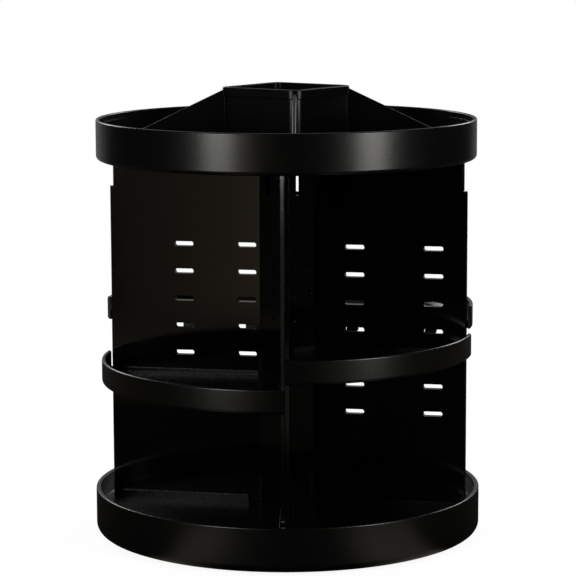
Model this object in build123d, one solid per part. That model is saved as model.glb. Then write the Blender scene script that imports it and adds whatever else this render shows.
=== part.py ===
from build123d import *
from math import cos, radians, sin, sqrt
import os

# Rotating organizer: a round base tray on a ball-bearing turntable, four corner panels that
# stand back to back as a cross, a hooked shelf in each corner, a round top tray on the cross
# and a square cup with four fins standing in it.
# Millimetres. +Z is up, and the origin is the centre of the foot on the table.
# One arm of the cross points to the front, along -Y.

# The cross of corner panels
arm_radius = 112.6              # from the axis to the outer edge of a wing
front_arm = -90.0               # degrees from +X
wide_corner = 100.0             # angle between a wide panel's wings
narrow_corner = 180.0 - wide_corner
panel_thickness = 2.3
panel_gap = 0.3                 # between two wings, back to back
arm_step_drop = 21.6            # the wings are narrower above this, down from the top tray
arm_step = 2.0
core_radius = 16.0              # where a wing turns into the corner's flat
tenon_width = 12.0
tenon_places = (34.0, 90.0)
tenon_play = 0.15
channel_start = 24.0
channel_tip = 6.6               # from a channel's end to the wing's edge
channel_height = 5.0
channel_thickness = 1.6
channel_play = 0.1
tip_play = 0.5                  # past the wing's edge

# The round trays
base_margin = 4.4               # from the wings to the base tray's wall
base_clearance = 1.5            # from the table to the skirt
base_height = 27.3
base_floor = 2.6
top_margin = 1.7                # from the wings to the top tray's wall
top_floor_height = 236.2        # underside of the top tray's floor, where the panels end
top_drop = 2.2                  # how far the wall hangs below that floor
top_height = 24.6
top_floor = 2.4
wall = 3.0
wall_curl = 4.0                 # how far the base tray's lower edge turns in
lower_round = 5.0
rim_round = 0.9
inner_round = 1.5
ledge_depth = 4.0               # step inside the top tray's rim
ledge_width = 0.7
round_limit = 0.95              # a rounding takes at most this much of its side

# The foot
foot_margin = 21.0              # from the foot to the base tray's lower edge
foot_thickness = 2.5
foot_lip_height = 1.6
foot_lip_width = 3.0
foot_boss_diameter = 28.0
pad_diameter = 14.0
pad_thickness = 5.0
pad_recess = 0.4
pad_edge = 0.4
pad_margin = 12.0               # from a pad's centre to the foot's edge
pad_count = 6

# The bearing
ball_diameter = 4.0
ball_count = 12
ball_circle = 124.0
ball_play = 0.05                # running gap under and over a ball
groove_play = 0.1               # how much larger the groove's radius is than the ball's
groove_depth = 0.9
race_width = 8.0
race_height = 2.0
flange_width = 8.0
flange_thickness = 1.2
cage_width = 10.0
cage_thickness = 1.2
cage_play = 0.15                # between a ball and its pocket

# The race screws
screw_count = 4
screw_diameter = 2.8
screw_depth = 2.0               # into the foot or the tray's floor
screw_head_diameter = 5.2
screw_head_height = 1.5

# The pivot
bolt_diameter = 5.0
bolt_flats = 8.0
bolt_head_height = 3.5
bolt_pocket_play = 0.1
bolt_inset = 0.2                # head below the foot's underside
bolt_end = 1.3                  # thread that shows past the nut
pivot_play = 0.08               # radial, bolt in the hub
hub_diameter = 15.0
hub_rise = 2.4                  # hub above the tray's floor
hub_gap = 0.4                   # hub above the foot's boss
washer_diameter = 10.0
washer_thickness = 1.0
washer_gap = 0.2
nut_height = 4.0

# The rows of slots
shelf_level = 95.1              # underside of the lowest shelf
row_pitch = 17.2
rows_below = 1                  # rows under the lowest shelf
row_count = 7
slot_width = 12.0
slot_height = 3.0
slot_corner = 0.8
inner_columns = (25.0, 65.0)    # on the left and back arms
outer_columns = (43.0, 92.0)    # on the front and right arms

# The holes in the flats, each placed sideways from the flat's middle
pin_hole_diameter = 2.6
pin_hole_level = 134.4          # lowest pin holes
pin_hole_pitch = 16.2
pin_hole_rows = 3
wide_pin = 2.4
narrow_pin = 6.5
key_hole_width = 3.0
key_hole_height = 11.0
key_hole_level = 114.1
wide_key = 2.8
narrow_key = 3.6
vent_width = 5.0
vent_height = 14.0
vent_drop = 17.6                # from the top tray to the middle of the vent
wide_vent = 3.4
narrow_vent = -2.2

# The shelves
shelf_height = 14.7
shelf_wall = 2.4
shelf_floor = 2.2
shelf_lower_round = 2.2
shelf_play = 0.6                # floor to the panels
shelf_lip = 3.0                 # low lip along the panels
shelf_lip_thickness = 1.8
rim_gap = 0.3                   # from a rim's end to the middle of the arm
tab_width = 7.0
tab_drop = 3.2                  # from a shelf's underside to its tabs
tab_inset = 0.1                 # from a tab's end to the back of the panel
tab_play = 0.3                  # over the slot's lower edge
tab_side_play = 0.5

# The cup
cup_size = 58.0
cup_corner = 6.0
cup_wall = 2.2
cup_floor = 2.0
cup_height = 39.3
cup_turn = 9.6                  # its corners, from the arms
cup_gap = 0.2                   # under the cup
collar_height = 5.5
collar_out = 0.8
fin_thickness = 2.2
fin_slope = 0.48
fin_play = 1.5                  # from a fin's end to the tray's wall
fin_drop = 1.5                  # from the cup's top to the fin's top

# Levels that follow
foot_bottom = pad_thickness - pad_recess
foot_top = foot_bottom + foot_thickness
lower_race_top = foot_top + race_height
ball_level = lower_race_top - groove_depth + ball_play + ball_diameter / 2
upper_race_bottom = ball_level + ball_diameter / 2 + ball_play - groove_depth
base_floor_bottom = upper_race_bottom + race_height
base_floor_top = base_floor_bottom + base_floor
base_rim = base_clearance + base_height
top_bottom = top_floor_height - top_drop
arm_step_level = top_floor_height - arm_step_drop
vent_level = top_floor_height - vent_drop
top_rim = top_bottom + top_height
top_floor_top = top_floor_height + top_floor
foot_boss_top = foot_bottom + bolt_inset + bolt_head_height + foot_thickness
hub_top = base_floor_top + hub_rise
washer_bottom = hub_top + washer_gap
nut_bottom = washer_bottom + washer_thickness
tab_level = shelf_level - tab_drop
row_level = tab_level - tab_play + slot_height / 2 - rows_below * row_pitch

# Distances that follow
wing_back = panel_gap / 2
wing_front = wing_back + panel_thickness
base_inner = arm_radius + base_margin
base_outer = base_inner + wall
base_lip = base_inner - wall_curl
top_inner = arm_radius + top_margin
top_outer = top_inner + wall
top_lip = arm_radius - arm_step + tip_play
shelf_inner = arm_radius + tip_play
shelf_outer = shelf_inner + shelf_wall
foot_radius = base_lip - foot_margin
pad_circle = 2 * (foot_radius - pad_margin)
race_inner = (ball_circle - race_width) / 2
flange_inner = race_inner - flange_width
screw_circle = race_inner + flange_inner


def section(*corners):
    """A flat outline in the XZ plane. Each corner is (radius, height), and one that is rounded
    adds its rounding, which is limited to a little less than the sides that it joins."""
    points = [Vector(corner[0], 0, corner[1]) for corner in corners]
    rounds = [corner[2] if len(corner) == 3 else 0 for corner in corners]
    face = make_face(Polyline(*points, close=True)).face()
    for i, point in enumerate(points):
        if rounds[i]:
            shares = [
                (points[j] - point).length * rounds[i] / (rounds[i] + rounds[j])
                for j in (i - 1, (i + 1) % len(points))
            ]
            rounding = min(rounds[i], round_limit * min(shares))
            nearest = face.vertices().sort_by_distance(point)[0]
            face = face.fillet_2d(rounding, [nearest])
    return face


def turned(*corners):
    """A solid of revolution about the Z axis."""
    return revolve(section(*corners), Axis.Z)


def disc(diameter, bottom, top):
    """An upright round bar between two levels."""
    return Pos(0, 0, (bottom + top) / 2) * Cylinder(diameter / 2, top - bottom)


def hexagon(flats, bottom, top):
    """An upright hexagonal bar, given its size across flats."""
    outline = RegularPolygon(flats / 2, 6, major_radius=False)
    return Pos(0, 0, bottom) * extrude(outline, top - bottom)


def block(low, high):
    """A box between two opposite corners."""
    size = [b - a for a, b in zip(low, high)]
    centre = [(a + b) / 2 for a, b in zip(low, high)]
    return Pos(*centre) * Box(*size)


def around(count, radius, start=0.0):
    """Places spread evenly round a circle."""
    return [Rot(0, 0, start + 360 / count * i) * Pos(radius, 0, 0) for i in range(count)]


def arm(angle):
    """The place of an arm of the cross: local +X runs out along the arm."""
    return Rot(0, 0, angle)


def prism(corners, bottom, top):
    """An upright prism through (x, y) corners."""
    face = make_face(Polyline(*[(x, y, bottom) for x, y in corners], close=True)).face()
    return extrude(face, top - bottom, dir=(0, 0, 1))


def wedge(corner_angle, offset, flat, bottom, top):
    """The space between two wings, kept offset from the middle of each arm and cut off by a
    flat across the inner corner. Local +X halves the corner. It reaches past every tray."""
    half = radians(corner_angle / 2)
    reach = 2 * arm_radius
    inner_y = (flat * sin(half) - offset) / cos(half)
    outer_x = reach * cos(half) + offset * sin(half)
    outer_y = reach * sin(half) - offset * cos(half)
    side = [(flat, inner_y), (outer_x, outer_y), (2 * reach, outer_y)]
    return prism(side + [(x, -y) for x, y in reversed(side)], bottom, top)


# The foot and the bearing

def make_foot_plate():
    boss = foot_boss_diameter / 2
    lip_top = foot_top + foot_lip_height
    plate = turned(
        (0, foot_bottom),
        (foot_radius, foot_bottom, foot_lip_height / 2),
        (foot_radius, lip_top, foot_lip_height / 2),
        (foot_radius - foot_lip_width, lip_top),
        (foot_radius - foot_lip_width, foot_top),
        (boss, foot_top),
        (boss, foot_boss_top),
        (0, foot_boss_top),
    )
    recess = disc(pad_diameter, foot_bottom, foot_bottom + pad_recess)
    for place in around(pad_count, pad_circle / 2, front_arm):
        plate -= place * recess
    for place in around(screw_count, screw_circle / 2):
        plate -= place * disc(screw_diameter, foot_top - screw_depth, foot_top)
    head_top = foot_bottom + bolt_inset + bolt_head_height
    plate -= hexagon(bolt_flats + 2 * bolt_pocket_play, foot_bottom, head_top)
    plate -= disc(bolt_diameter, head_top, foot_boss_top)
    return plate


def make_foot_pads():
    radius = pad_diameter / 2
    pad = turned(
        (0, 0),
        (radius - pad_edge, 0),
        (radius, pad_edge),
        (radius, pad_thickness),
        (0, pad_thickness),
    )
    return [place * pad for place in around(pad_count, pad_circle / 2, front_arm)]


def race(face_level, back_level):
    """A bearing ring with a ball groove in the face and a thin screw flange at the back."""
    inward = 1 if back_level > face_level else -1
    ring_outer = race_inner + race_width
    flange_face = back_level - inward * flange_thickness
    ring = turned(
        (flange_inner, back_level),
        (ring_outer, back_level),
        (ring_outer, face_level),
        (race_inner, face_level),
        (race_inner, flange_face),
        (flange_inner, flange_face),
    )
    groove_radius = ball_diameter / 2 + groove_play
    groove_centre = face_level + inward * (groove_depth - groove_radius)
    ring -= Pos(0, 0, groove_centre) * Torus(ball_circle / 2, groove_radius)
    low, high = sorted((back_level, flange_face))
    for place in around(screw_count, screw_circle / 2):
        ring -= place * disc(screw_diameter, low, high)
    return ring


def race_screws(back_level, inward):
    """Pan-head screws through a race's flange; inward points from the race to its seat."""
    flange_face = back_level - inward * flange_thickness
    head = sorted((flange_face, flange_face - inward * screw_head_height))
    shank = sorted((flange_face, back_level + inward * screw_depth))
    screw = disc(screw_head_diameter, *head) + disc(screw_diameter, *shank)
    return [place * screw for place in around(screw_count, screw_circle / 2)]


def make_ball_cage():
    low = ball_level - cage_thickness / 2
    high = ball_level + cage_thickness / 2
    cage = disc(ball_circle + cage_width, low, high) - disc(ball_circle - cage_width, low, high)
    pocket = disc(ball_diameter + 2 * cage_play, low, high)
    for place in around(ball_count, ball_circle / 2):
        cage -= place * pocket
    return cage


def make_balls():
    ball = Sphere(ball_diameter / 2)
    return [place * Pos(0, 0, ball_level) * ball for place in around(ball_count, ball_circle / 2)]


# The pivot

def make_bolt():
    head_bottom = foot_bottom + bolt_inset
    head_top = head_bottom + bolt_head_height
    end = nut_bottom + nut_height + bolt_end
    return hexagon(bolt_flats, head_bottom, head_top) + disc(bolt_diameter, head_top, end)


def make_washer():
    top = washer_bottom + washer_thickness
    return disc(washer_diameter, washer_bottom, top) - disc(bolt_diameter, washer_bottom, top)


def make_nut():
    top = nut_bottom + nut_height
    return hexagon(bolt_flats, nut_bottom, top) - disc(bolt_diameter, nut_bottom, top)


# The round trays

def channels(low, high):
    """Ribs along both sides of each arm, which hold the edges of the wings."""
    near = wing_front + channel_play
    end = arm_radius - channel_tip
    rib = block((channel_start, near, low), (end, near + channel_thickness, high))
    pair = [rib, mirror(rib, Plane.XZ)]
    return [arm(angle) * side for angle in arm_angles for side in pair]


def make_base_tray():
    tray = turned(
        (0, base_floor_bottom),
        (base_inner, base_floor_bottom),
        (base_inner, base_clearance + wall, lower_round - wall),
        (base_lip, base_clearance + wall),
        (base_lip, base_clearance),
        (base_outer, base_clearance, lower_round),
        (base_outer, base_rim, rim_round),
        (base_inner, base_rim, rim_round),
        (base_inner, base_floor_top, inner_round),
        (0, base_floor_top),
    )
    tray += disc(hub_diameter, foot_boss_top + hub_gap, hub_top)
    tray -= disc(bolt_diameter + 2 * pivot_play, foot_boss_top, hub_top)
    for rib in channels(base_floor_top, base_floor_top + channel_height):
        tray += rib
    half_length = tenon_width / 2 + tenon_play
    half_pair = wing_front + tenon_play
    for angle in arm_angles:
        for radius in tenon_places:
            slot = block(
                (radius - half_length, -half_pair, base_floor_bottom),
                (radius + half_length, half_pair, base_floor_top),
            )
            tray -= arm(angle) * slot
    for place in around(screw_count, screw_circle / 2):
        tray -= place * disc(screw_diameter, base_floor_bottom, base_floor_bottom + screw_depth)
    return tray


def make_top_tray():
    ledge = top_rim - ledge_depth
    tray = turned(
        (0, top_floor_height),
        (top_lip, top_floor_height),
        (top_lip, top_bottom),
        (top_outer, top_bottom, lower_round),
        (top_outer, top_rim, rim_round),
        (top_inner + ledge_width, top_rim, rim_round),
        (top_inner + ledge_width, ledge),
        (top_inner, ledge),
        (top_inner, top_floor_top, inner_round),
        (0, top_floor_top),
    )
    for rib in channels(top_floor_height - channel_height, top_floor_height):
        tray += rib
    return tray


# The corner panels

def make_panel(corner_angle, columns, pins, keys, vent):
    """A panel in its own frame, where local +X halves the corner between its wings. columns
    gives the slots' places on the left wing (1) and on the right wing (-1), and pins, keys and
    vent give the places of the holes across the flat."""
    bottom = base_floor_top
    top = top_floor_height
    flat_back = core_radius * cos(radians(corner_angle / 2))
    flat_front = flat_back + panel_thickness
    panel = wedge(corner_angle, wing_back, flat_back, bottom, top)
    panel -= wedge(corner_angle, wing_front, flat_front, bottom, top)
    panel &= disc(2 * arm_radius, bottom, arm_step_level) + disc(
        2 * (arm_radius - arm_step), arm_step_level, top
    )

    levels = [row_level + row_pitch * i for i in range(row_count)]
    outline = chamfer(Rectangle(slot_width, slot_height).vertices(), slot_corner)
    slot = extrude(Plane.XZ * outline, panel_thickness / 2, both=True)
    for side in (1, -1):
        wing = Rot(0, 0, side * corner_angle / 2)
        near, far = sorted((-side * wing_back, -side * wing_front))
        for radius in tenon_places:
            low = (radius - tenon_width / 2, near, base_floor_bottom)
            high = (radius + tenon_width / 2, far, base_floor_top)
            panel += wing * block(low, high)
        middle = (near + far) / 2
        panel -= [
            wing * Pos(radius, middle, level) * slot for radius in columns[side] for level in levels
        ]

    flat_middle = flat_back + panel_thickness / 2
    pin_hole = Rot(0, 90, 0) * Cylinder(pin_hole_diameter / 2, panel_thickness)
    pin_levels = [pin_hole_level + pin_hole_pitch * i for i in range(pin_hole_rows)]
    panel -= [Pos(flat_middle, y, level) * pin_hole for y in pins for level in pin_levels]
    key_hole = Box(panel_thickness, key_hole_width, key_hole_height)
    panel -= [Pos(flat_middle, y, key_hole_level) * key_hole for y in keys]
    panel -= Pos(flat_middle, vent, vent_level) * Box(panel_thickness, vent_width, vent_height)
    return panel


# The shelves

def make_shelf(corner_angle, columns):
    """A shelf in its own frame, where local +X halves the corner and its underside is at 0.
    columns gives the places of the hooked tabs on the left side (1) and the right side (-1)."""
    side_offset = wing_front + shelf_play
    flat = core_radius * cos(radians(corner_angle / 2)) + panel_thickness + shelf_play
    lip_top = shelf_floor + shelf_lip
    whole = turned(
        (0, 0),
        (shelf_outer, 0, shelf_lower_round),
        (shelf_outer, shelf_height, rim_round),
        (shelf_inner, shelf_height, rim_round),
        (shelf_inner, shelf_floor, inner_round),
        (0, shelf_floor),
    )
    rim = turned(
        (shelf_inner, 0),
        (shelf_outer, 0, shelf_lower_round),
        (shelf_outer, shelf_height, rim_round),
        (shelf_inner, shelf_height, rim_round),
    )
    lip = wedge(corner_angle, side_offset, flat, 0, lip_top)
    lip -= wedge(
        corner_angle, side_offset + shelf_lip_thickness, flat + shelf_lip_thickness, 0, lip_top
    )
    shelf = whole & wedge(corner_angle, side_offset, flat, 0, shelf_height)
    shelf += rim & wedge(corner_angle, rim_gap, flat, 0, shelf_height)
    shelf += lip & disc(shelf_inner + shelf_outer, 0, lip_top)

    for side in (1, -1):
        end = wing_back + tab_inset
        reach = side_offset + shelf_lip_thickness
        for radius in columns[side]:
            start = radius - slot_width / 2 + tab_side_play
            stop = start + tab_width
            near, far = sorted((-side * end, -side * reach))
            tab = block((start, near, -tab_drop), (stop, far, shelf_floor - tab_drop))
            near, far = sorted((-side * side_offset, -side * reach))
            tab += block((start, near, -tab_drop), (stop, far, shelf_floor))
            shelf += Rot(0, 0, side * corner_angle / 2) * tab
    return shelf


# The cup

def make_cup():
    bottom = top_floor_top + cup_gap
    top = top_floor_top + cup_height
    outline = RectangleRounded(cup_size, cup_size, cup_corner)
    collar_size = cup_size + 2 * collar_out
    collar = RectangleRounded(collar_size, collar_size, cup_corner + collar_out)
    bore_size = cup_size - 2 * cup_wall
    bore = RectangleRounded(bore_size, bore_size, cup_corner - cup_wall)
    cup = Pos(0, 0, bottom) * extrude(outline, top - bottom)
    cup += Pos(0, 0, top - collar_height) * extrude(collar, collar_height)
    cup -= Pos(0, 0, bottom + cup_floor) * extrude(bore, top - bottom - cup_floor)

    # Each fin starts in a corner's wall and runs along an arm, beside its middle.
    rounding_centre = (cup_size / 2 - cup_corner) * sqrt(2)
    beside = rounding_centre * sin(radians(cup_turn))
    corner = rounding_centre * cos(radians(cup_turn)) + cup_corner
    start = corner - cup_wall / 2
    end = sqrt((top_inner - fin_play) ** 2 - (beside + fin_thickness / 2) ** 2)
    fin_top = top - fin_drop
    fin_end = fin_top - fin_slope * (end - corner)
    face = section(
        (start, bottom),
        (end, bottom),
        (end, fin_end),
        (corner, fin_top),
        (start, fin_top),
    )
    fin = Pos(0, beside, 0) * extrude(face, fin_thickness / 2, both=True)
    cup = Rot(0, 0, cup_turn + 45) * cup
    for i in range(4):
        cup += Rot(0, 0, 90 * i) * fin
    return Rot(0, 0, front_arm) * cup


# The corners, each between two arms

arm_angles = (
    front_arm,
    front_arm + narrow_corner,
    front_arm + narrow_corner + wide_corner,
    front_arm - wide_corner,
)
corners = {
    # name: angle, middle, columns on the left and right wing, holes in the flat, rows up
    "front_left": (
        wide_corner,
        front_arm - wide_corner / 2,
        (outer_columns, inner_columns),
        ((wide_pin,), (wide_key,), -wide_vent),
        0,
    ),
    "front_right": (
        narrow_corner,
        front_arm + narrow_corner / 2,
        (outer_columns, outer_columns),
        ((-narrow_pin, narrow_pin), (-narrow_key, narrow_key), narrow_vent),
        1,
    ),
    "back_right": (
        wide_corner,
        front_arm + 180 - wide_corner / 2,
        (inner_columns, outer_columns),
        ((-wide_pin,), (-wide_key,), wide_vent),
        2,
    ),
    "back_left": (
        narrow_corner,
        front_arm + 180 + narrow_corner / 2,
        (inner_columns, inner_columns),
        ((-narrow_pin, narrow_pin), (-narrow_key, narrow_key), narrow_vent),
        2,
    ),
}

parts = {
    "foot_plate": make_foot_plate(),
    "foot_pads": make_foot_pads(),
    "lower_race": race(lower_race_top, foot_top),
    "lower_race_screws": race_screws(foot_top, -1),
    "pivot_bolt": make_bolt(),
    "pivot_washer": make_washer(),
    "pivot_nut": make_nut(),
    "ball_cage": make_ball_cage(),
    "bearing_balls": make_balls(),
    "upper_race": race(upper_race_bottom, base_floor_bottom),
    "upper_race_screws": race_screws(base_floor_bottom, 1),
    "base_tray": make_base_tray(),
    "top_tray": make_top_tray(),
    "centre_cup": make_cup(),
}
for name, (corner_angle, middle, (left, right), holes, rows_up) in corners.items():
    columns = {1: left, -1: right}
    level = shelf_level + rows_up * row_pitch
    parts["panel_" + name] = Rot(0, 0, middle) * make_panel(corner_angle, columns, *holes)
    parts["shelf_" + name] = Pos(0, 0, level) * Rot(0, 0, middle) * make_shelf(corner_angle, columns)

os.makedirs("parts", exist_ok=True)
for name, solid in parts.items():
    shape = Compound(solid) if isinstance(solid, list) else solid
    export_step(shape, "parts/" + name + ".step")
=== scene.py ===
import math

import bmesh
import bpy
import numpy as np
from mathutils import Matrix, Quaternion, Vector


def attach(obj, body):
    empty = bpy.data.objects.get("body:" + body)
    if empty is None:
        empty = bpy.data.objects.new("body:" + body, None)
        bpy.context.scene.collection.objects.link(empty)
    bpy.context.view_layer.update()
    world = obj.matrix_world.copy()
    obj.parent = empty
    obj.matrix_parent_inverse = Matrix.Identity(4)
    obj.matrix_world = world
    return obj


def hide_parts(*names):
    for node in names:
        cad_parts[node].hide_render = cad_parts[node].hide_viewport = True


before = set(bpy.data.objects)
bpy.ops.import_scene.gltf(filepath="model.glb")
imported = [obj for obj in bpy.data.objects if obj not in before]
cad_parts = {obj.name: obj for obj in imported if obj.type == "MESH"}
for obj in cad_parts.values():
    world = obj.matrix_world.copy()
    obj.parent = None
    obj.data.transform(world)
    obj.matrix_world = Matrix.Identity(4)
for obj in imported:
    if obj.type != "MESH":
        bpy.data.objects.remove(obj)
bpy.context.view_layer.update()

# The camera
# It stands in front of the organizer, a little to the right and above the cup, and looks
# down at the middle of the cross. The long lens keeps the two round trays nearly parallel.

camera_distance = 1.50
camera_angle = math.radians(-89.3)
camera_height = 0.3770
camera_roll = math.radians(-0.20)
focal_length = 152.3
sensor_width = 36.0
aim = Vector((0.0007, 0.0, 0.1523))

lens = bpy.data.cameras.new("camera")
lens.lens = focal_length
lens.sensor_width = sensor_width
lens.clip_start = 0.05
lens.clip_end = 50.0
camera = bpy.data.objects.new("camera", lens)
camera.location = (
    camera_distance * math.cos(camera_angle),
    camera_distance * math.sin(camera_angle),
    camera_height,
)
towards_aim = (aim - camera.location).to_track_quat("-Z", "Y")
camera.rotation_euler = (towards_aim @ Quaternion((0.0, 0.0, 1.0), camera_roll)).to_euler()
bpy.context.scene.collection.objects.link(camera)
bpy.context.scene.camera = camera
bpy.context.scene.view_settings.view_transform = "Standard"

# The studio round the organizer
# The air is dim for lighting, so that black plastic stays black. The backdrop is white where it
# is seen, and where gloss mirrors it straight behind the organizer. Two soft boxes light the
# rims, and three narrow warm cards light the left-hand wall.


class Shade:
    """A socket of a node tree. Sums, products and powers of Shades and numbers add Math nodes,
    and node() adds a node of any other kind."""

    def __init__(self, tree, socket=None):
        self.tree = tree
        self.socket = socket

    def node(self, kind, settings=(), inputs=(), output=0):
        """Adds a node, sets its settings first, feeds its inputs and gives one of its outputs."""
        made = self.tree.nodes.new(kind)
        for name, value in dict(settings).items():
            if name == "stops":
                ramp = made.color_ramp
                while len(ramp.elements) < len(value):
                    ramp.elements.new(0.5)
                for element, (place, level) in zip(ramp.elements, value):
                    element.position = place
                    element.color = (level, level, level, 1.0)
            else:
                setattr(made, name, value)
        for name, value in dict(inputs).items():
            if isinstance(value, Shade):
                self.tree.links.new(value.socket, made.inputs[name])
            else:
                made.inputs[name].default_value = value
        return Shade(self.tree, made.outputs[output] if made.outputs else None)

    def math(self, operation, first, second):
        return self.node("ShaderNodeMath", {"operation": operation}, {0: first, 1: second})

    def __add__(self, other):
        return self.math("ADD", self, other)

    def __sub__(self, other):
        return self.math("SUBTRACT", self, other)

    def __rsub__(self, other):
        return self.math("SUBTRACT", other, self)

    def __mul__(self, other):
        return self.math("MULTIPLY", self, other)

    def __pow__(self, other):
        return self.math("POWER", self, other)

    __radd__ = __add__
    __rmul__ = __mul__

    def most(self, other):
        """The greater of two values."""
        return self.math("MAXIMUM", self, other)

    def step(self, start, full):
        """A smooth step: 0 below start, 1 above full, and t t (3 - 2 t) at the share t between."""
        return self.node(
            "ShaderNodeMapRange",
            {"interpolation_type": "SMOOTHSTEP"},
            {"Value": self, "From Min": start, "From Max": full},
        )

    def part(self, axis):
        """This vector's X, Y or Z."""
        return self.node("ShaderNodeSeparateXYZ", inputs={0: self}, output=axis)

    def blend(self, first, second):
        """The first colour where this mask is 0, and the second where it is 1."""
        return self.node(
            "ShaderNodeMix", {"data_type": "RGBA"}, {0: self, 6: first, 7: second}, output=2
        )


def emptied(holder):
    """Clears the nodes of a world or a material, and gives its tree as a Shade."""
    holder.use_nodes = True
    holder.node_tree.nodes.clear()
    return Shade(holder.node_tree)


def rays(tree):
    """Masks of what the camera sees, what is seen through glass and what gloss mirrors."""
    kinds = ("Is Camera Ray", "Is Transmission Ray", "Is Glossy Ray")
    return [tree.node("ShaderNodeLightPath", output=kind) for kind in kinds]


white = (1.0, 1.0, 1.0, 1.0)
air_light = 0.16
air_gloss = 0.018
front_start, front_full = -0.98, -0.45
backdrop_gloss = 0.25
backdrop_start, backdrop_full = 0.70, 1.0
backdrop_lean = 0.1

world = bpy.data.worlds.new("studio")
bpy.context.scene.world = world
air = emptied(world)
seen, through, mirrored = rays(air)
direction = air.node("ShaderNodeTexCoord", output="Generated")
behind = direction.part("Y") - direction.part("X") * backdrop_lean
gloss = behind.step(front_start, front_full) * air_gloss
gloss = gloss + behind.step(backdrop_start, backdrop_full) * backdrop_gloss
plain = mirrored * (gloss - air_light) + air_light
strength = seen.most(through).most(plain)
light = air.node("ShaderNodeBackground", inputs={"Color": white, "Strength": strength})
air.node("ShaderNodeOutputWorld", inputs={"Surface": light})


def hang(name, width, height, power, colour, place, turn):
    """Hangs a flat lamp at a place, turned so that its own -Z points where it shines."""
    lamp = bpy.data.lights.new(name, "AREA")
    lamp.shape = "RECTANGLE"
    lamp.size = width
    lamp.size_y = height
    lamp.energy = power
    lamp.color = colour
    stand = bpy.data.objects.new(name, lamp)
    stand.location = place
    stand.rotation_euler = turn
    bpy.context.scene.collection.objects.link(stand)


def softbox(name, bearing, distance, low, high, width, radiance, colour):
    """An upright flat lamp. bearing is in degrees from the camera's side, positive to the right,
    low and high are its lower and upper edge, and its power is pi times radiance times area."""
    angle = camera_angle + math.radians(bearing)
    place = (distance * math.cos(angle), distance * math.sin(angle), (low + high) / 2)
    power = math.pi * radiance * width * (high - low)
    hang(name, width, high - low, power, colour, place, (math.pi / 2, 0.0, angle + math.pi / 2))


daylight = (1.0, 0.985, 0.96)
warm = (1.0, 0.77, 0.58)
box_ring, card_ring = 1.5, 1.46
# Each one's bearing, distance, lower edge, upper edge, width, radiance and colour.
softboxes = {
    "softbox_left": (-39.1, box_ring, 0.10, 0.95, 0.43, 7.1, daylight),
    "softbox_left_edge": (-38.0, box_ring, 0.035, 0.10, 0.38, 0.65, daylight),
    "softbox_left_low": (-38.0, box_ring, -0.35, 0.035, 0.38, 0.18, daylight),
    "softbox_right": (50.1, box_ring, 0.09, 0.95, 0.43, 8.4, daylight),
    "softbox_right_low": (50.1, box_ring, -0.35, 0.09, 0.43, 0.22, daylight),
    "wall_card_dim": (-28.1, card_ring, -0.30, 0.30, 0.08, 0.14, warm),
    "wall_card_mid": (-24.9, card_ring, -0.30, 0.30, 0.08, 0.22, warm),
    "wall_card": (-21.7, card_ring, -0.30, 0.30, 0.08, 0.37, warm),
    "rim_card_left": (-145.0, box_ring, 0.65, 1.15, 0.60, 6.0, daylight),
    "rim_card_right": (145.0, box_ring, 0.65, 1.15, 0.60, 6.0, daylight),
}
for name, setting in softboxes.items():
    softbox(name, *setting)

top_width, top_depth, top_power = 1.6, 0.8, 2.5
top_place = Vector((0.0, 0.75, 1.6))
top_turn = (aim - top_place).to_track_quat("-Z", "Y").to_euler()
hang("softbox_top", top_width, top_depth, top_power, white[:3], top_place, top_turn)

# The floor
# A round table top of pale matt board. It is white where it is seen and keeps the soft shadow
# under the tray. To gloss it is dark, with a painted warm glow in front of each soft box and a
# faint painted glow that grows to the sides: painted reflections of floor lit by the lamps.

floor_reach = 0.85
floor_corners = 64

circle = np.linspace(0, 2 * np.pi, floor_corners, endpoint=False)
edge = np.stack([np.cos(circle), np.sin(circle), np.zeros(floor_corners)], -1) * floor_reach
floor_mesh = bpy.data.meshes.new("floor")
floor_mesh.from_pydata(edge.tolist(), [], [list(range(floor_corners))])
floor = bpy.data.objects.new("floor", floor_mesh)
bpy.context.scene.collection.objects.link(floor)

pale = (0.86, 0.86, 0.86, 1.0)
dark = (0.03, 0.03, 0.03, 1.0)
# Colour of the painted glow that gloss mirrors off the floor, a painted reflection of lamplit
# board.
painted_gleam_colour = (1.0, 0.90, 0.76, 1.0)
seen_glow = 1.22
glow_share = 0.75
# Strengths and shapes of the painted glow: its rise to the sides, and its wedges and rings in
# front of each soft box.
side_slope, side_least = 0.08, 0.004
inner_soft, outer_soft = 0.05, 0.04
left_inner, left_outer = 0.30, 1.05
left_near, left_far = 0.40, 0.14
right_inner, right_outer = 0.35, 1.60
right_near, right_far = 0.36, 0.21

table = bpy.data.materials.new("pale_table")
top = emptied(table)
seen, through, mirrored = rays(top)
spot = top.node("ShaderNodeTexCoord", output="Object")
across = spot.part("X")
front = spot.part("Y") * -1.0
radius = (across * across + front * front) ** 0.5


def beam(inner, outer):
    """A wedge of the floor with soft edges: 1 where both values are well above 0."""
    return inner.step(0.0, inner_soft) * outer.step(0.0, outer_soft)


def ring(start, full, end, gone):
    """A soft ring of the floor: 0 inside start, 1 from full to end, and 0 outside gone."""
    return radius.step(start, full) - radius.step(end, gone)


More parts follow.
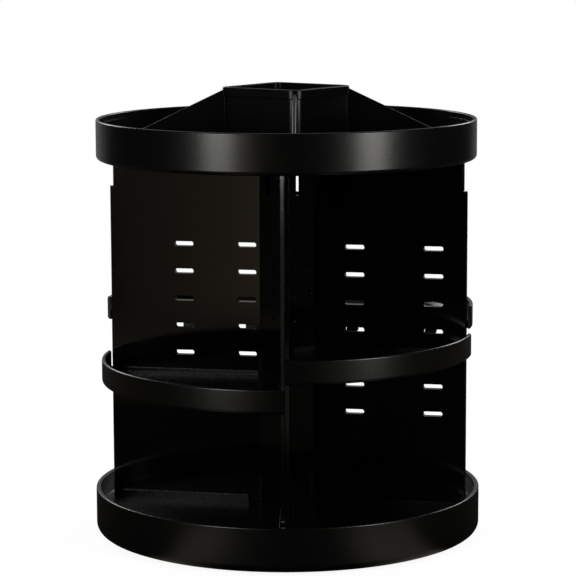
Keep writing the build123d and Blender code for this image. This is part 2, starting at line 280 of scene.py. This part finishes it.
# Painted light: glowing wedges and rings of the floor, seen only in gloss, stand in for floor lit
# by the soft boxes, and a faint painted glow grows to the sides.
left_beam = beam(across * -1.0 - front * left_inner, front * left_outer + across)
right_beam = beam(across - front * right_inner, front * right_outer - across)
near_ring = ring(0.05, 0.11, 0.19, 0.25)
far_ring = ring(0.40, 0.55, 0.80, 0.85)
left_painted_gleam = left_beam * (near_ring * left_near + far_ring * left_far)
right_painted_gleam = right_beam * (near_ring * right_near + far_ring * right_far)
side_painted_gleam = (across * across) ** 0.5 * side_slope + side_least
painted_gleam = left_painted_gleam + right_painted_gleam + side_painted_gleam
shown = seen.most(through)
paint = top.node("ShaderNodeBsdfDiffuse", inputs={"Color": seen.blend(dark, pale)})
# The floor glows white to the camera, and to gloss it glows only with the painted gleams.
glow = top.node(
    "ShaderNodeEmission",
    inputs={
        "Color": shown.blend(painted_gleam_colour, white),
        "Strength": shown * seen_glow + (1 - shown) * painted_gleam,
    },
)
share = shown.most(mirrored) * glow_share
lift = top.node("ShaderNodeMixShader", inputs={0: share, 1: paint, 2: glow})
top.node("ShaderNodeOutputMaterial", inputs={"Surface": lift})
floor_mesh.materials.append(table)

# The base tray
# A round tray moulded in black ABS with a fine satin grain. Its wall curls in under the floor.
# Ribs on the floor stand on both sides of every arm of the panels, whose tenons go through slots.


def rounded(corners, steps=6):
    """The closed outline of a section, given in mm, in metres. A corner (p, q, rounding) whose
    sides leave it along u and w gives the arc corner + rounding ((1 - sin a) u +
    (1 - cos a) w), for a from 0 to a right angle."""
    points = np.array([corner[:2] for corner in corners]) / 1000
    runs = []
    for i, point in enumerate(points):
        radius = corners[i][2] / 1000 if len(corners[i]) == 3 else 0.0
        if not radius:
            runs.append(point[None])
            continue
        u = points[i - 1] - point
        w = points[(i + 1) % len(points)] - point
        u = u / np.linalg.norm(u)
        w = w / np.linalg.norm(w)
        a = np.linspace(0, np.pi / 2, steps + 1)[:, None]
        runs.append(point + radius * ((1 - np.sin(a)) * u + (1 - np.cos(a)) * w))
    return np.concatenate(runs)


def woven(points, capped=False):
    """The vertices and faces of a grid of points that closes along its second side. Its first
    side closes on itself too, or ends in a flat face at each end where it is capped."""
    rows, columns = points.shape[:2]
    index = np.arange(rows * columns).reshape(rows, columns)
    ahead = np.roll(index, -1, 0)
    quads = np.stack([index, ahead, np.roll(ahead, -1, 1), np.roll(index, -1, 1)], -1)
    if not capped:
        return points.reshape(-1, 3), quads.reshape(-1, 4).tolist()
    faces = quads[:-1].reshape(-1, 4).tolist()
    return points.reshape(-1, 3), faces + [index[0].tolist(), index[-1][::-1].tolist()]


def turned(outline, count=240):
    """A closed outline carried round the Z axis: at angle a, its point (r, z) goes to
    (r cos a, r sin a, z)."""
    a = np.linspace(0, 2 * np.pi, count, endpoint=False)[:, None]
    r, z = outline[:, 0], outline[:, 1]
    return woven(np.stack([r * np.cos(a), r * np.sin(a), z + 0 * a], -1))


def inset(outline, depth):
    """A counterclockwise outline drawn in: each point moves by depth times (m + n) / (1 + m.n),
    where m and n are the inward normals of its two sides."""
    side = np.roll(outline, -1, 0) - outline
    side = side / np.linalg.norm(side, axis=1, keepdims=True)
    n = np.stack([-side[:, 1], side[:, 0]], -1)
    m = np.roll(n, 1, 0)
    return outline + depth * (m + n) / (1 + (m * n).sum(1, keepdims=True))


def carried(outline, place, start, stop, rounding, count=1):
    """An outline carried along a path by place(p, q, s), from s = start to s = stop. At a
    distance rounding (1 - sin a) from an end it is drawn in by rounding (1 - cos a)."""
    a = np.linspace(0, np.pi / 2, 4)
    from_end = rounding * (1 - np.sin(a))
    drawn_in = rounding * (1 - np.cos(a))
    middle = np.linspace(start + rounding, stop - rounding, count + 1)[1:-1]
    s = np.concatenate([start + from_end[::-1], middle, stop - from_end])
    depth = np.concatenate([drawn_in[::-1], 0 * middle, drawn_in])
    rows = [place(*inset(outline, d).T, at) for d, at in zip(depth, s)]
    return woven(np.stack([np.stack(np.broadcast_arrays(*row), -1) for row in rows]), True)


def merge(mesh, flat=0.0, outward=False):
    """Merges vertices at one place, joins faces that lie within flat degrees of a plane, and
    turns every shell's faces outward where asked."""
    work = bmesh.new()
    work.from_mesh(mesh)
    bmesh.ops.remove_doubles(work, verts=work.verts, dist=2e-7)
    bmesh.ops.dissolve_degenerate(work, edges=work.edges, dist=1e-7)
    if flat:
        bmesh.ops.dissolve_limit(
            work, angle_limit=math.radians(flat), verts=work.verts, edges=work.edges
        )
    if outward:
        bmesh.ops.recalc_face_normals(work, faces=work.faces)
    work.to_mesh(mesh)
    work.free()


def joined(name, shells):
    """A mesh of several closed shells, with its seams and poles merged."""
    corners = np.concatenate([shell[0] for shell in shells])
    faces = []
    first = 0
    for points, sides in shells:
        faces += [[first + i for i in side] for side in sides]
        first += len(points)
    mesh = bpy.data.meshes.new(name)
    mesh.from_pydata(corners.tolist(), [], faces)
    merge(mesh, outward=True)
    return mesh


def places(mesh):
    """The places of a mesh's vertices, one row each."""
    flat = np.empty(3 * len(mesh.vertices), dtype=np.float32)
    mesh.vertices.foreach_get("co", flat)
    return flat.astype(float).reshape(-1, 3)


def cut(shell, holes):
    """A closed shell with other closed shells cut out of it."""
    things = [bpy.data.objects.new("cut", joined("cut", shells)) for shells in ([shell], holes)]
    bpy.context.scene.collection.objects.link(things[0])
    difference = things[0].modifiers.new("holes", "BOOLEAN")
    difference.object = things[1]
    difference.solver = "EXACT"
    evaluated = things[0].evaluated_get(bpy.context.evaluated_depsgraph_get())
    left = bpy.data.meshes.new_from_object(evaluated)
    points = places(left)
    faces = [list(face.vertices) for face in left.polygons]
    bpy.data.meshes.remove(left)
    for thing in things:
        bpy.data.meshes.remove(thing.data)
    return points, faces


shell_smooth = 30.0


def finished(thing, smooth, rounding=0.0):
    """Shades a piece smoothly, but for edges sharper than smooth degrees. Those stay sharp, or
    are rounded by a bevel of the width rounding."""
    bpy.context.scene.collection.objects.link(thing)
    thing.data.shade_smooth()
    if rounding:
        bevel = thing.modifiers.new("edges", "BEVEL")
        bevel.width = rounding
        bevel.segments = 2
        bevel.limit_method = "ANGLE"
        bevel.angle_limit = math.radians(smooth)
        bevel.use_clamp_overlap = False
    else:
        thing.data.set_sharp_from_angle(angle=math.radians(smooth))
    shading = thing.modifiers.new("shading", "WEIGHTED_NORMAL")
    shading.mode = "FACE_AREA_WITH_ANGLE"
    shading.keep_sharp = True
    return thing


def piece(name, shells, material):
    """One object of several closed shells in one material."""
    mesh = joined(name, shells)
    mesh.materials.append(material)
    return finished(bpy.data.objects.new(name, mesh), shell_smooth)


def noise(place, scale, detail, roughness=0.5):
    """Cloudy noise from 0 to 1, of scale waves a metre with detail finer octaves."""
    sockets = {"Vector": place, "Scale": scale, "Detail": detail, "Roughness": roughness}
    return place.node("ShaderNodeTexNoise", inputs=sockets)


def bump(height, amount):
    """The normal of a surface lifted by amount of a height, where 1 stands for 0.2 mm."""
    sockets = {"Height": height, "Strength": amount, "Distance": 0.0002}
    return height.node("ShaderNodeBump", inputs=sockets)


def coated(material, coat, sockets):
    """Ends a material's tree in one Principled surface with these sockets."""
    skin = coat.node("ShaderNodeBsdfPrincipled", inputs=sockets)
    coat.node("ShaderNodeOutputMaterial", inputs={"Surface": skin})
    return material


def black_plastic(name, colour, roughness, grain, marks, level):
    """Moulded black plastic. Its roughness is roughness + marks (smudges + 0.5 hairlines +
    0.4 swell), its height is grain (fine + 0.6 swell), and the smudges are dusty."""
    material = bpy.data.materials.new(name)
    coat = emptied(material)
    place = coat.node("ShaderNodeTexCoord", output="Object")
    drawn = coat.node("ShaderNodeMapping", inputs={"Vector": place, "Scale": (9.0, 9.0, 900.0)})
    fine = noise(place, 2600.0, 2.0)
    swell = noise(place, 22.0, 3.0)
    rubbed = noise(place, 60.0, 6.0, 0.7)
    hair = noise(drawn, 3.0, 4.0, 0.8)
    hairlines = coat.node("ShaderNodeValToRGB", {"stops": ((0.62, 0.0), (0.72, 1.0))}, {0: hair})
    smudges = coat.node("ShaderNodeValToRGB", {"stops": ((0.45, 0.0), (0.75, 1.0))}, {0: rubbed})
    dusty = tuple(2.2 * c for c in colour)
    sockets = {
        "Base Color": (smudges * 0.35).blend((*colour, 1.0), (*dusty, 1.0)),
        "Roughness": roughness + marks * (smudges + 0.5 * hairlines + 0.4 * swell),
        "Specular IOR Level": level,
        "Normal": bump(fine * grain + swell * (grain * 0.6), 0.35),
    }
    return coated(material, coat, sockets)


satin_black = black_plastic(
    "satin_black", (0.0013, 0.0012, 0.0010), roughness=0.27, grain=0.03, marks=0.01, level=0.5
)

hub_bore, hub_radius, hub_foot, hub_top = 2.58, 7.5, 11.2, 18.4
base_under, base_floor = 13.4, 16.0
base_inside, base_outside, base_rim = 117.0, 120.0, 28.8
curl_inside, curl_top, curl_foot = 113.0, 4.5, 1.5
base_section = rounded(
    [
        (hub_bore, hub_foot),
        (hub_radius, hub_foot, 0.3),
        (hub_radius, base_under),
        (base_inside, base_under),
        (base_inside, curl_top, 2.0),
        (curl_inside, curl_top),
        (curl_inside, curl_foot, 0.3),
        (base_outside, curl_foot, 5.0),
        (base_outside, base_rim, 0.9),
        (base_inside, base_rim, 0.9),
        (base_inside, base_floor, 1.5),
        (hub_radius, base_floor),
        (hub_radius, hub_top, 0.4),
        (hub_bore, hub_top, 0.3),
    ]
)

arms = [math.radians(degrees) for degrees in (-90.0, -10.0, 90.0, 170.0)]
rib_near, rib_far = 2.55, 4.15
rib_start, rib_stop = 0.024, 0.106
rib_low, rib_high = 15.7, 21.0
tenon_half_width, tenon_half_length = 2.6, 0.00615
tenon_low, tenon_high = 13.0, 16.4
tenon_middles = (0.034, 0.090)


def along(arm, side):
    """Places a point p beside an arm's middle plane, q high and s out along the arm, at
    (c s - n side p, n s + c side p, q), with c and n the cosine and sine of the arm's angle."""
    c, n = math.cos(arm), math.sin(arm)
    return lambda p, q, s: (c * s - n * side * p, n * s + c * side * p, q)


def ribs(low, high):
    """A rib on each side of every arm, whose section is carried straight along the arm."""
    foot = [(rib_near, low, 0.3), (rib_far, low, 0.3)]
    crest = [(rib_far, high, 0.5), (rib_near, high, 0.5)]
    section = rounded(foot + crest, 3)
    return [
        carried(section, along(arm, side), rib_start, rib_stop, 0.0003)
        for arm in arms
        for side in (1, -1)
    ]


tenon_section = rounded(
    [
        (-tenon_half_width, tenon_low),
        (tenon_half_width, tenon_low),
        (tenon_half_width, tenon_high),
        (-tenon_half_width, tenon_high),
    ]
)
floor_slots = [
    carried(tenon_section, along(arm, 1), at - tenon_half_length, at + tenon_half_length, 0.00001)
    for arm in arms
    for at in tenon_middles
]
slotted_tray = cut(turned(base_section), floor_slots)
base_tray = piece("base_tray_shell", [slotted_tray] + ribs(rib_low, rib_high), satin_black)
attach(base_tray, "carousel")
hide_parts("base_tray")

# The corner panels
# Four moulded panels, each two slotted wings and a narrow flat with pin holes. They stand in the
# base tray back to back, and their faces are polished to a gloss.

gloss_black = black_plastic(
    "gloss_black", (0.0012, 0.0010, 0.0008), roughness=0.045, grain=0.12, marks=0.03, level=0.5
)
mould_smooth = 35.0
mould_flat = 0.3
panel_rounding = 0.00012
wing_ends = (0.1126, 0.1106)
end_tolerance = 1e-4
wing_half = 0.003
wing_back = 0.00015
end_slope = 0.34


def moulded(node, body, material, rounding=0.0):
    """A solid of the frame with its sharp edges rounded, as it comes out of the mould."""
    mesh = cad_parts[node].data.copy()
    merge(mesh, flat=mould_flat)
    mesh.materials.clear()
    mesh.materials.append(material)
    thing = finished(bpy.data.objects.new(node + "_moulded", mesh), mould_smooth, rounding)
    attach(thing, body)
    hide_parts(node)
    return thing


def slant_ends(mesh):
    """Slants the ends of a panel's wings: a point there that lies b beside its arm's middle
    plane moves back along the arm by end_slope (b - wing_back)."""
    points = places(mesh)
    x, y = points[:, 0], points[:, 1]
    moved = points.copy()
    for arm in arms:
        c, n = math.cos(arm), math.sin(arm)
        reach = c * x + n * y
        beside = np.abs(c * y - n * x)
        ended = np.min([np.abs(reach - end) for end in wing_ends], axis=0) < end_tolerance
        back = np.where(ended & (beside < wing_half), end_slope * (beside - wing_back), 0.0)
        moved[:, 0] -= c * back
        moved[:, 1] -= n * back
    mesh.vertices.foreach_set("co", moved.astype(np.float32).ravel())
    mesh.update()


for corner in ("front_left", "front_right", "back_right", "back_left"):
    panel = moulded("panel_" + corner, "carousel", gloss_black, panel_rounding)
    slant_ends(panel.data)

# The shelves
# One in each corner, moulded in the satin black of the trays. Tabs under the side lips hook into
# the panels' slots, and the curved rim runs from arm to arm.

shelf_inner, shelf_outer, shelf_rim_high = 113.1, 115.5, 14.7
shelf_beside = 0.00305
rim_beside = 0.0003
floor_overlap = 0.0003
flat_reach, flat_gap = 0.016, 0.0029
tab_back, tab_length = 5.5, 7.0
# How far in from the floor's edge, how high at its straight sides and how high at the rim, in mm.
lip_rows = [
    (0.3, 0.0, 0.0),
    (0.0, 0.3, 0.3),
    (0.0, 4.9, 4.1),
    (0.1, 5.13, 4.2),
    (0.3, 5.2, 4.2),
    (1.5, 5.2, 2.6),
    (1.7, 5.13, 2.45),
    (1.8, 4.9, 2.35),
    (1.8, 2.7, 2.28),
    (1.95, 2.35, 2.23),
    (2.3, 2.2, 2.2),
]
# A tab's corners: how far beside the arm, how high from the shelf's foot, and the rounding.
hook = [
    (0.25, -3.2, 0.3),
    (4.85, -3.2, 0.5),
    (4.85, 1.9),
    (3.05, 1.9),
    (3.05, -1.0, 0.4),
    (0.25, -1.0, 0.3),
]


def shelf_rim(middle, half, level):
    """The rim's section carried round the axis: at s along its arc, a point at radius p stands at
    the angle middle + s / outer (half - asin(beside / p)) / half."""
    outer = shelf_outer / 1000
    section = rounded(
        [
            (shelf_inner, 0.0, 0.3),
            (shelf_outer, 0.0, 2.0),
            (shelf_outer, shelf_rim_high, 1.1),
            (shelf_inner, shelf_rim_high, 1.1),
        ]
    )

    def on_arc(p, q, s):
        a = middle + s / outer * (half - np.arcsin(rim_beside / p)) / half
        return p * np.cos(a), p * np.sin(a), q + level

    return carried(section, on_arc, -half * outer, half * outer, 0.0004, 48)


def shelf_floor(middle, half, level):
    """The floor and its lips. Each row of lip_rows is a ring round the floor at one distance d in
    from its edge: across the panel's flat at x = flat + d, out beside the right arm, round the
    arc of radius inner + overlap - d and back beside the left arm. X points along middle."""
    d, side_high, arc_high = np.array(lip_rows).T / 1000
    inside = flat_reach * math.cos(half) + flat_gap + d
    radius = shelf_inner / 1000 + floor_overlap - d
    reach = shelf_beside + d
    inner_y = (inside * math.sin(half) - reach) / math.cos(half)
    end = half - np.arcsin(reach / radius)
    sweep = np.linspace(-1, 1, 40)[:, None]
    share = np.linspace(0, 1, 12)[:, None]
    arc = np.stack([radius * np.cos(sweep * end), radius * np.sin(sweep * end)], -1)
    near = np.stack([inside + 0 * sweep, inner_y * -sweep], -1)
    right = near[-1] + share[:, :, None] * (arc[0] - near[-1])
    left = arc[-1] + share[:, :, None] * (near[0] - arc[-1])
    path = np.concatenate([near, right, arc, left])
    side = side_high + 0 * share
    high = np.concatenate([side_high + 0 * sweep, side, arc_high + 0 * sweep, side])
    c, n = math.cos(middle), math.sin(middle)
    x, y = path[..., 0], path[..., 1]
    floor = np.stack([c * x - n * y, n * x + c * y, high + level], -1)
    return woven(floor.transpose(1, 0, 2), True)


def shelf_tabs(middle, half, columns, level):
    """The hooks' section carried straight along each arm, for the length of a tab at each of the
    columns of slots that the shelf uses on that side."""
    section = rounded(hook, 3) + (0.0, level)
    tabs = []
    for side in (1, -1):
        place = along(middle + side * half, -side)
        for column in columns[side]:
            start = (column - tab_back) / 1000
            tabs.append(carried(section, place, start, start + tab_length / 1000, 0.0004))
    return tabs


inner_columns, outer_columns = (25.0, 65.0), (43.0, 92.0)
# Each shelf's middle and half angle in degrees, its columns of slots on both sides and its level.
shelves = {
    "front_left": (-140.0, 50.0, {1: outer_columns, -1: inner_columns}, 0.0951),
    "front_right": (-50.0, 40.0, {1: outer_columns, -1: outer_columns}, 0.1123),
    "back_right": (40.0, 50.0, {1: inner_columns, -1: outer_columns}, 0.1295),
    "back_left": (130.0, 40.0, {1: inner_columns, -1: inner_columns}, 0.1295),
}
for corner, (middle, half, columns, level) in shelves.items():
    middle, half = math.radians(middle), math.radians(half)
    shells = [shelf_rim(middle, half, level), shelf_floor(middle, half, level)]
    shells += shelf_tabs(middle, half, columns, level)
    made = piece("shelf_" + corner + "_shell", shells, satin_black)
    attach(made, "shelf_" + corner)
    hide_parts("shelf_" + corner)

# The top tray
# It is moulded like the base tray, with a small step inside its rim. It lies on the panels, and
# ribs under its floor hold their upper edges.

top_under, top_floor = 236.2, 238.6
skirt_inside, skirt_foot = 111.1, 234.0
top_inside, step_inside, top_outside = 114.3, 115.0, 117.3
step_high, top_rim = 254.6, 258.6
top_rib_low, top_rib_high = 231.2, 236.5
top_section = rounded(
    [
        (0.0, top_under),
        (skirt_inside, top_under),
        (skirt_inside, skirt_foot, 0.3),
        (top_outside, skirt_foot, 2.6),
        (top_outside, top_rim, 0.9),
        (step_inside, top_rim, 0.9),
        (step_inside, step_high),
        (top_inside, step_high),
        (top_inside, top_floor, 1.5),
        (0.0, top_floor),
    ]
)
top_ribs = ribs(top_rib_low, top_rib_high)
top_tray = piece("top_tray_shell", [turned(top_section)] + top_ribs, satin_black)
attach(top_tray, "carousel")
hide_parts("top_tray")

# The cup
# A square cup with a collar, moulded in one piece with four sloped fins. It stands loose in the
# top tray. Its corners point nearly to the front, the back and the sides, and each has its fin.

cup_black = black_plastic(
    "cup_black", (0.0014, 0.0012, 0.0011), roughness=0.28, grain=0.2, marks=0.03, level=0.3
)
cup_lean = 9.6
cup_turn = math.radians(cup_lean - 90.0 + 45.0)
cup_straight, cup_corner = 0.023, 0.006
corner_reach = 0.0325269
cup_foot, cup_floor = 238.8, 240.8
collar_low, cup_top, collar_out = 272.4, 277.9, 0.8
cup_wall_in, cup_middle = -2.2, -29.0
cup_section = rounded(
    [
        (cup_middle, cup_foot),
        (0.0, cup_foot, 0.8),
        (0.0, collar_low, 0.3),
        (collar_out, collar_low, 0.3),
        (collar_out, cup_top, 0.7),
        (cup_wall_in, cup_top, 0.7),
        (cup_wall_in, cup_floor, 1.4),
        (cup_middle, cup_floor),
    ],
    4,
)
quarter = np.linspace(0, np.pi / 2, 9)


def cup_wall(p, q):
    """The cup's section carried round a square of half side 29 mm with 6 mm corners: a point p
    outside the wall lies at 23 mm along both sides and 6 mm + p round the corner's centre."""
    turn = cup_turn + np.concatenate([quarter + k * np.pi / 2 for k in range(4)])
    centre = cup_turn + np.repeat(np.arange(4) * np.pi / 2 + np.pi / 4, len(quarter))
    out = np.maximum(cup_corner + p[:, None], 0.0)
    back = np.minimum(cup_corner + p[:, None], 0.0) + cup_straight
    x = back * math.sqrt(2) * np.cos(centre) + out * np.cos(turn)
    y = back * math.sqrt(2) * np.sin(centre) + out * np.sin(turn)
    return woven(np.stack([x, y, q[:, None] + 0 * x], -1))


fin_beside = corner_reach * math.sin(math.radians(cup_lean))
fin_corner = corner_reach * math.cos(math.radians(cup_lean)) + cup_corner
fin_end = 0.1126
fin_foot, fin_top, fin_slope = 0.2388, 0.2764, 0.48
fin_root = 0.0011
fin_half = 0.0011
fin_outline = np.array(
    [
        (fin_corner - fin_root, fin_foot),
        (fin_end, fin_foot),
        (fin_end, fin_top - fin_slope * (fin_end - fin_corner)),
        (fin_corner, fin_top),
        (fin_corner - fin_root, fin_top),
    ]
)


def upright(turn):
    """Places a point p out from the axis, q high and s to the left, at (c p - n s, n p + c s, q),
    with c and n the cosine and sine of turn."""
    c, n = math.cos(turn), math.sin(turn)
    return lambda p, q, s: (c * p - n * s, n * p + c * s, q)


fins = [
    carried(fin_outline, upright(turn), fin_beside - fin_half, fin_beside + fin_half, 0.0004, 2)
    for turn in np.arange(4) * np.pi / 2
]
cup = piece("centre_cup_shell", [cup_wall(*cup_section.T)] + fins, cup_black)
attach(cup, "cup")
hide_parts("centre_cup")

# The foot
# A plate moulded in matt black plastic with a lip round its edge, and six rubber pads pressed
# into recesses under it.


def plain_coat(name, colour, roughness, spread, scale, metal, lift, lift_scale):
    """A material of one colour. Noise c at scale gives the roughness roughness + spread
    (c - 0.5) and darkens the colour by up to 18 percent, and finer noise lifts the surface."""
    material = bpy.data.materials.new(name)
    coat = emptied(material)
    place = coat.node("ShaderNodeTexCoord", output="Object")
    cloud = noise(place, scale, 5.0)
    darker = tuple(0.82 * c for c in colour)
    sockets = {
        "Base Color": cloud.blend((*darker, 1.0), (*colour, 1.0)),
        "Roughness": cloud * spread + (roughness - spread / 2),
        "Metallic": metal,
        "Normal": bump(noise(place, lift_scale, 3.0), lift),
    }
    return coated(material, coat, sockets)


foot_plastic = plain_coat(
    "foot_plastic",
    (0.012, 0.012, 0.012),
    roughness=0.5,
    spread=0.12,
    scale=60.0,
    metal=0.0,
    lift=0.4,
    lift_scale=1800.0,
)
pad_rubber = plain_coat(
    "pad_rubber",
    (0.022, 0.022, 0.023),
    roughness=0.78,
    spread=0.1,
    scale=140.0,
    metal=0.0,
    lift=0.5,
    lift_scale=1500.0,
)
moulded("foot_plate", "foot", foot_plastic)
moulded("foot_pads", "foot", pad_rubber)

# The bearing and the pivot
# Two pressed rings of zinc-plated steel with a nylon cage of polished balls between them. A
# bolt through the hub holds the turntable down on the foot.

zinc_steel = plain_coat(
    "zinc_steel",
    (0.58, 0.58, 0.56),
    roughness=0.34,
    spread=0.16,
    scale=90.0,
    metal=1.0,
    lift=0.15,
    lift_scale=900.0,
)
ball_steel = plain_coat(
    "ball_steel",
    (0.70, 0.70, 0.71),
    roughness=0.07,
    spread=0.04,
    scale=200.0,
    metal=1.0,
    lift=0.02,
    lift_scale=600.0,
)
cage_plastic = plain_coat(
    "cage_plastic",
    (0.70, 0.67, 0.60),
    roughness=0.42,
    spread=0.1,
    scale=80.0,
    metal=0.0,
    lift=0.2,
    lift_scale=1200.0,
)
for node in ("lower_race", "lower_race_screws", "pivot_bolt", "pivot_washer", "pivot_nut"):
    moulded(node, "foot", zinc_steel)
for node in ("upper_race", "upper_race_screws"):
    moulded(node, "carousel", zinc_steel)
moulded("ball_cage", "ball_ring", cage_plastic)
moulded("bearing_balls", "ball_ring", ball_steel)
